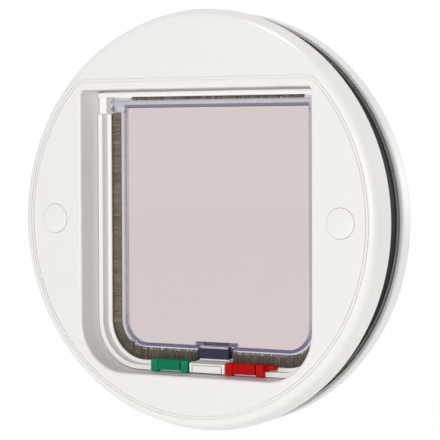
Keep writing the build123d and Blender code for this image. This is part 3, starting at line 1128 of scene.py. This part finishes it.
    def build(self, finishes: Finishes) -> None:
        """Builds the two side strips and the top strip.

        Args:
            finishes: Materials of the part.
        """
        for side, node in ((-1, "brush_left"), (1, "brush_right")):
            coarse = self.side_stations(side, self.band_pitch)
            low = [s for s in coarse if s.z < self.backing_top]
            clear = [s for s in low if side < 0 or s.z > -self.drop or s.x > self.arm_end]
            parts = MeshParts()
            self.band(parts, clear, self.backing, self.half_backing)
            self.band(parts, coarse, (self.clear_root, self.core_tip), self.half_core)
            self.tuft(parts, self.side_stations(side, self.pitch), (self.clear_root, self.tip))
            mesh = parts.mesh(f"{node}_bristles", finishes.bristle)
            new_piece(f"{node}_bristles", mesh, Body.FRAME, Slot.BRISTLE, node)
        parts = MeshParts()
        coarse = self.top_stations(self.top_band_pitch)
        self.band(parts, coarse, self.top_backing, self.half_backing)
        self.tuft(parts, self.top_stations(self.pitch), (self.top_root, self.top_tip))
        mesh = parts.mesh("brush_top_bristles", finishes.bristle)
        new_piece("brush_top_bristles", mesh, Body.FRAME, Slot.BRISTLE, "brush_top")


@dataclass
class MagnetBlock:
    """White block on the bottom rail, its inset cover and its magnet."""

    block_edge: float = 0.35 * MM
    cover_edge: float = 0.15 * MM
    shaded_wall_slope: float = 0.8
    ridge_half_width: float = 11.0 * MM
    ridge_depths: tuple[float, float] = (-6.2 * MM, 0.1 * MM)
    ridge_levels: tuple[float, float] = (-90.68 * MM, -87.75 * MM)
    ridge_edge: float = 0.6 * MM

    def build(self, finishes: Finishes) -> None:
        """Builds the block with rounded edges, paints shade on the cover's side walls, and dresses its
        magnet.

        Args:
            finishes: Materials of the part.
        """
        soft_piece("magnet_housing", self.block_edge, finishes.inner, Body.FRAME, Slot.WHITE)
        cover = soft_piece("magnet_cover", self.cover_edge, finishes.inner, Body.FRAME, Slot.WHITE)
        # The cover's side walls get the near-black finish: painted shade for the gap round the cover.
        second_finish(cover, finishes.seam, lambda face: abs(face.normal.y) < self.shaded_wall_slope)
        dress("frame_magnet", finishes.magnet)
        self.build_ridge(finishes)

    def build_ridge(self, finishes: Finishes) -> None:
        """Builds the low ridge behind the block, which bridges the brush channel under the tab.

        Args:
            finishes: Materials of the part.
        """
        front, rear = self.ridge_depths
        low, high = self.ridge_levels
        half, cut = self.ridge_half_width, self.ridge_edge
        rings = []
        for x, inset in ((-half, cut), (cut - half, 0.0), (half - cut, 0.0), (half, cut)):
            top = high - inset
            outline = ((front, low), (rear, low), (rear, top - cut), (rear - cut, top), (front, top))
            rings.append([Vector((x, y, z)) for y, z in outline])
        parts = MeshParts()
        parts.loft(rings)
        mesh = parts.mesh("channel_ridge", finishes.inner)
        new_piece("channel_ridge", mesh, Body.FRAME, Slot.WHITE)


@dataclass
class LockCatches:
    """Green and red sliders with their steel pins."""

    edge: float = 0.15 * MM
    front: float = -16.1 * MM
    skin: float = 0.5 * MM
    underside: float = -0.6
    green_slot: tuple[float, float] = (-20.1 * MM, -18.9 * MM)
    red_slot: tuple[float, float] = (34.9 * MM, 36.1 * MM)

    def build(self, finishes: Finishes) -> None:
        """Builds both catches with rounded edges and painted shade in their slots and on their
        undersides, and dresses their pins.

        Args:
            finishes: Materials of the part.
        """
        green = soft_piece("green_catch", self.edge, finishes.green, Body.GREEN, Slot.GREEN)
        red = soft_piece("red_catch", self.edge, finishes.red, Body.RED, Slot.RED)
        # Painted shade in the slots and on the undersides of the catches.
        self.paint_shade(green, finishes.green_painted_shade, self.green_slot)
        self.paint_shade(red, finishes.red_painted_shade, self.red_slot)
        dress("green_pin", finishes.pin)
        dress("red_pin", finishes.pin)

    def paint_shade(
        self, catch: bpy.types.Object, shade_finish: bpy.types.Material, slot: tuple[float, float]
    ) -> None:
        """Paints shade on the underside and in the slot of a catch with a darker, duller finish.

        Args:
            catch: Piece of the catch.
            shade_finish: Finish with painted shade for the faces in the slot and the faces that look
                down.
            slot: Where its slot begins and ends across the flap.
        """
        low, high = slot[0] - self.edge, slot[1] + self.edge

        def in_shade(polygon: bpy.types.MeshPolygon) -> bool:
            """Whether a face lies in the slot or looks down, where shade is painted."""
            x, y, _ = polygon.center
            in_slot = low < x < high and y > self.front + self.skin
            return in_slot or polygon.normal.z < self.underside

        second_finish(catch, shade_finish, in_shade)


@dataclass
class Fasteners:
    """Screws of the frames and of the housing."""

    nodes: tuple[str, ...] = ("frame_screws", "housing_screws")

    def build(self, finishes: Finishes) -> None:
        """Dresses the screws."""
        for node in self.nodes:
            dress(node, finishes.steel)


@dataclass
class Lamp:
    """One soft area lamp."""

    name: str
    place: Point
    size: float
    power: float

    def build(self) -> None:
        """Adds the lamp, aimed at the object and not seen through clear plastic."""
        data = bpy.data.lights.new(self.name, "AREA")
        data.shape = "SQUARE"
        data.size = self.size
        data.energy = self.power
        lamp = bpy.data.objects.new(self.name, data)
        lamp.location = self.place
        lamp.visible_transmission = False
        lamp.rotation_euler = (-Vector(self.place)).to_track_quat("-Z", "Y").to_euler()
        bpy.context.scene.collection.objects.link(lamp)


@dataclass
class Studio:
    """Camera, lamps, white surroundings and floor."""

    eye: Point = (0.7149, -1.1577, 0.0493)
    target: Point = (0.0, -0.0319, 0.0)
    lens: float = 177.3
    sensor: float = 36.0
    shift: tuple[float, float] = (0.064, 0.0019)
    roll: float = math.radians(-0.2425)
    view_range: float = 50.0
    floor_size: float = 8.0
    floor_colour: Colour = (0.95, 0.95, 0.95)
    floor_white: float = 0.98
    horizon: float = 0.72
    zenith: float = 0.12
    sky: Colour = (1.0, 0.965, 0.94)
    floor_glow: float = 0.52
    lamps: list[Lamp] = field(default_factory=lambda: [
        Lamp("key", (0.45, -2.1, 0.15), 0.7, 20.0),
        Lamp("edge", (1.1, 1.5, 0.3), 0.8, 9.0),
        Lamp("top", (0.1, 0.06, 1.8), 0.3, 11.0),
    ])

    def build(self, floor_level: float) -> None:
        """Builds everything that isn't the object.

        Args:
            floor_level: Height of the floor.
        """
        self.build_camera()
        self.build_world()
        self.build_floor(floor_level)
        for lamp in self.lamps:
            lamp.build()
        bpy.context.scene.view_settings.view_transform = "Standard"

    def build_camera(self) -> None:
        """Places the camera at the photograph's angle."""
        data = bpy.data.cameras.new("photo_camera")
        data.lens = self.lens
        data.sensor_width = self.sensor
        data.sensor_fit = "HORIZONTAL"
        data.shift_x, data.shift_y = self.shift
        data.clip_end = self.view_range
        camera = bpy.data.objects.new("photo_camera", data)
        aim = (Vector(self.target) - Vector(self.eye)).to_track_quat("-Z", "Y")
        turn = aim.to_matrix().to_4x4() @ Matrix.Rotation(self.roll, 4, "Z")
        camera.matrix_world = Matrix.Translation(self.eye) @ turn
        bpy.context.scene.collection.objects.link(camera)
        bpy.context.scene.camera = camera

    def seen_directly(self, graph: NodeGraph) -> Value:
        """Tells rays that show a surface from those that light it.

        Args:
            graph: Tree that is filled.

        Returns:
            1 for camera, mirror and see-through rays, and 0 for others.
        """
        path = graph.add("ShaderNodeLightPath")
        rays = [graph.value(path, f"Is {kind} Ray") for kind in ("Camera", "Glossy", "Transmission")]
        return rays[0].maximum(rays[1]).maximum(rays[2])

    def build_world(self) -> None:
        """White to look at, and softer as a light."""
        world = bpy.data.worlds.new("white_studio")
        world.use_nodes = True
        graph = NodeGraph(world.node_tree)
        seen = self.seen_directly(graph)
        direction = graph.add("ShaderNodeTexCoord").outputs["Generated"]
        split = graph.add("ShaderNodeSeparateXYZ", None, {0: direction})
        light = self.horizon - (self.horizon - self.zenith) * graph.value(split, 2).maximum(0.0)
        strength = seen * (1.0 - light) + light
        colour = graph.blend(seen, self.sky, (1.0, 1.0, 1.0))
        glow = graph.add("ShaderNodeBackground", None, {"Color": colour, "Strength": strength})
        graph.add("ShaderNodeOutputWorld", None, {"Surface": glow.outputs[0]})
        bpy.context.scene.world = world

    def build_floor(self, level: float) -> None:
        """Builds a pale floor that melts into the white and keeps a soft shadow.

        Args:
            level: Height of the floor.
        """
        mesh = bpy.data.meshes.new("floor")
        half = self.floor_size / 2
        signs = ((-1, -1), (1, -1), (1, 1), (-1, 1))
        mesh.from_pydata([(x * half, y * half, level) for x, y in signs], [], [(0, 1, 2, 3)])
        material, graph = new_material("floor", self.floor_colour)
        matt = graph.add("ShaderNodeBsdfDiffuse", None, {"Color": (*self.floor_colour, 1.0)})
        glow = graph.add("ShaderNodeEmission", None, {"Color": (1.0, 1.0, 1.0, 1.0), "Strength": 1.0})
        share = self.seen_directly(graph) * (self.floor_white - self.floor_glow) + self.floor_glow
        shaders = {0: share, 1: matt.outputs[0], 2: glow.outputs[0]}
        mix = graph.add("ShaderNodeMixShader", None, shaders)
        graph.add("ShaderNodeOutputMaterial", None, {"Surface": mix.outputs[0]})
        mesh.materials.append(material)
        floor = bpy.data.objects.new("floor", mesh)
        bpy.context.scene.collection.objects.link(floor)
        floor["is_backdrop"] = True


def main() -> None:
    """Builds the dressed part and its studio."""
    logging.basicConfig(level=logging.INFO, format="%(message)s")
    cad_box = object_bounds()
    finishes = Finishes()
    parts = (
        RoundFrames(), PaneSeal(), FlapHousing(), SwingFlap(), BristleSeals(), MagnetBlock(),
        LockCatches(), Fasteners(),
    )
    for part in parts:
        part.build(finishes)
    Studio().build(cad_box[0][2])


if __name__ == "__main__":
    main()
